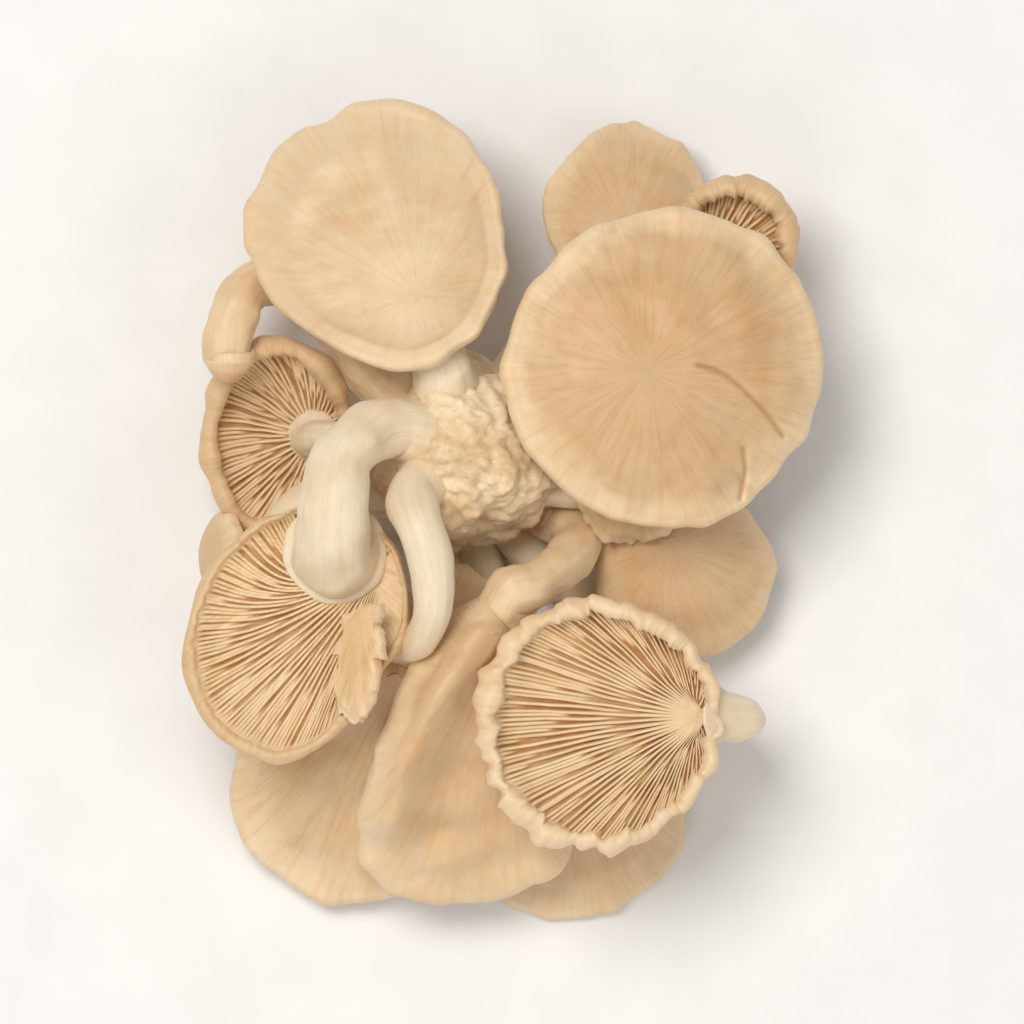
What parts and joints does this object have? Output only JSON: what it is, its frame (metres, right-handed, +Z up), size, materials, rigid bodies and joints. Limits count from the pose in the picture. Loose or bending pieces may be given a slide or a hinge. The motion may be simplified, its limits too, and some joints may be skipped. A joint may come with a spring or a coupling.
{
  "type": "oyster mushroom cluster",
  "caption": "Cluster of fresh beige oyster mushrooms: fan-shaped caps, some with gills up, on cream stems that fan out from one cut base.",
  "frame": {"origin": "middle of the cluster's bounding box, on the surface that the cut face rests on", "axes": "+Z up out of that surface, +Y along the cluster's length, +X to the right with +Y away from the viewer"},
  "size_m": [0.1198, 0.1524, 0.0546],
  "materials": {
    "cap_skin": "matt, velvety tan cap skin with fine radial streaks and a paler margin",
    "gilled_cap_skin": "matt tan cap turned gills up, with tan gills and brown valleys between them",
    "stem_flesh": "smooth cream-white stem with fine lengthwise fibres",
    "base_flesh": "pale, fuzzy, slightly ragged flesh with a flat knife cut"
  },
  "bodies": {
    "root": {"cut_base": "base_flesh", "broad_cap": "cap_skin", "broad_stem": "stem_flesh", "upper_left_cap": "cap_skin", "upper_left_stem": "stem_flesh", "gilled_cap": "gilled_cap_skin", "gilled_stem": "stem_flesh", "spoon_cap": "cap_skin", "spoon_stem": "stem_flesh", "folded_cap": "cap_skin", "folded_stem": "stem_flesh", "right_cap": "cap_skin", "right_stem": "stem_flesh", "crimped_cap": "gilled_cap_skin", "crimped_stem": "stem_flesh", "bottom_cap": "cap_skin", "bottom_stem": "stem_flesh", "inner_cap": "cap_skin", "inner_stem": "stem_flesh", "left_gilled_cap": "gilled_cap_skin", "left_gilled_stem": "stem_flesh", "side_cap": "cap_skin", "side_stem": "stem_flesh", "finger_cap": "cap_skin", "finger_stem": "stem_flesh", "top_cap": "cap_skin", "top_stem": "stem_flesh", "curled_cap": "gilled_cap_skin", "curled_stem": "stem_flesh", "tucked_cap": "cap_skin", "tucked_stem": "stem_flesh", "flap_cap": "cap_skin"}
  },
  "joints": []
}
